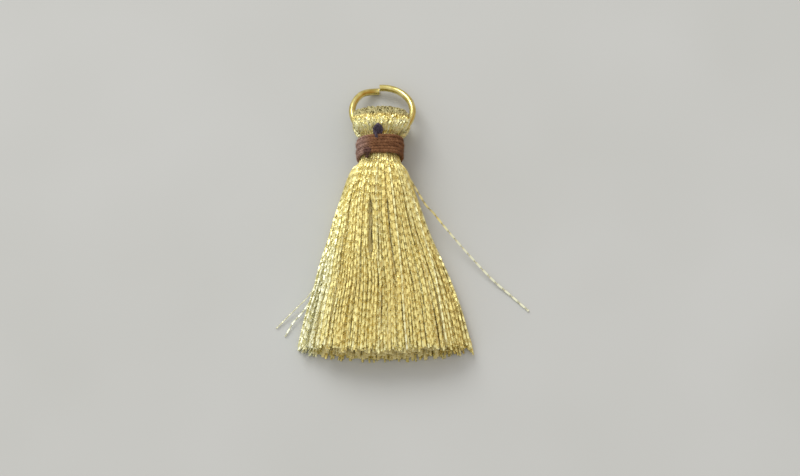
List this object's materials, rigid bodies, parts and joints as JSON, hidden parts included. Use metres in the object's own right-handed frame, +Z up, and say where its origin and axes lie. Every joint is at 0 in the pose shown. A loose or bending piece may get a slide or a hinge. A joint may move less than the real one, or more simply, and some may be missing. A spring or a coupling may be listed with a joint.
{
  "type": "thread tassel with jump ring",
  "caption": "Small tassel of metallic gold thread folded over an open jump ring, bound with brown thread below the fold and cut to a flat spreading fringe.",
  "frame": {"origin": "on the surface that the tassel lies on, on its long axis, half way along its length", "axes": "+Y along the tassel from the cut ends to the ring, +Z up away from the surface, +X to the right when the ring is at the top"},
  "size_m": [0.0299, 0.0343, 0.006],
  "materials": {
    "ring_metal": "bright gold plating over drawn brass wire",
    "gold_thread": "metallic film twisted round a fine core, pale gold, glittering",
    "brown_thread": "matt plied sewing thread, slightly fuzzy",
    "dark_thread": "matt plied sewing thread, dark"
  },
  "bodies": {
    "root": {"jump_ring": "ring_metal", "thread_hank": "gold_thread", "binding": "brown_thread", "tie_loop": "dark_thread", "strand_right": "gold_thread", "strand_left_upper": "gold_thread", "strand_left_lower": "gold_thread"}
  },
  "joints": []
}
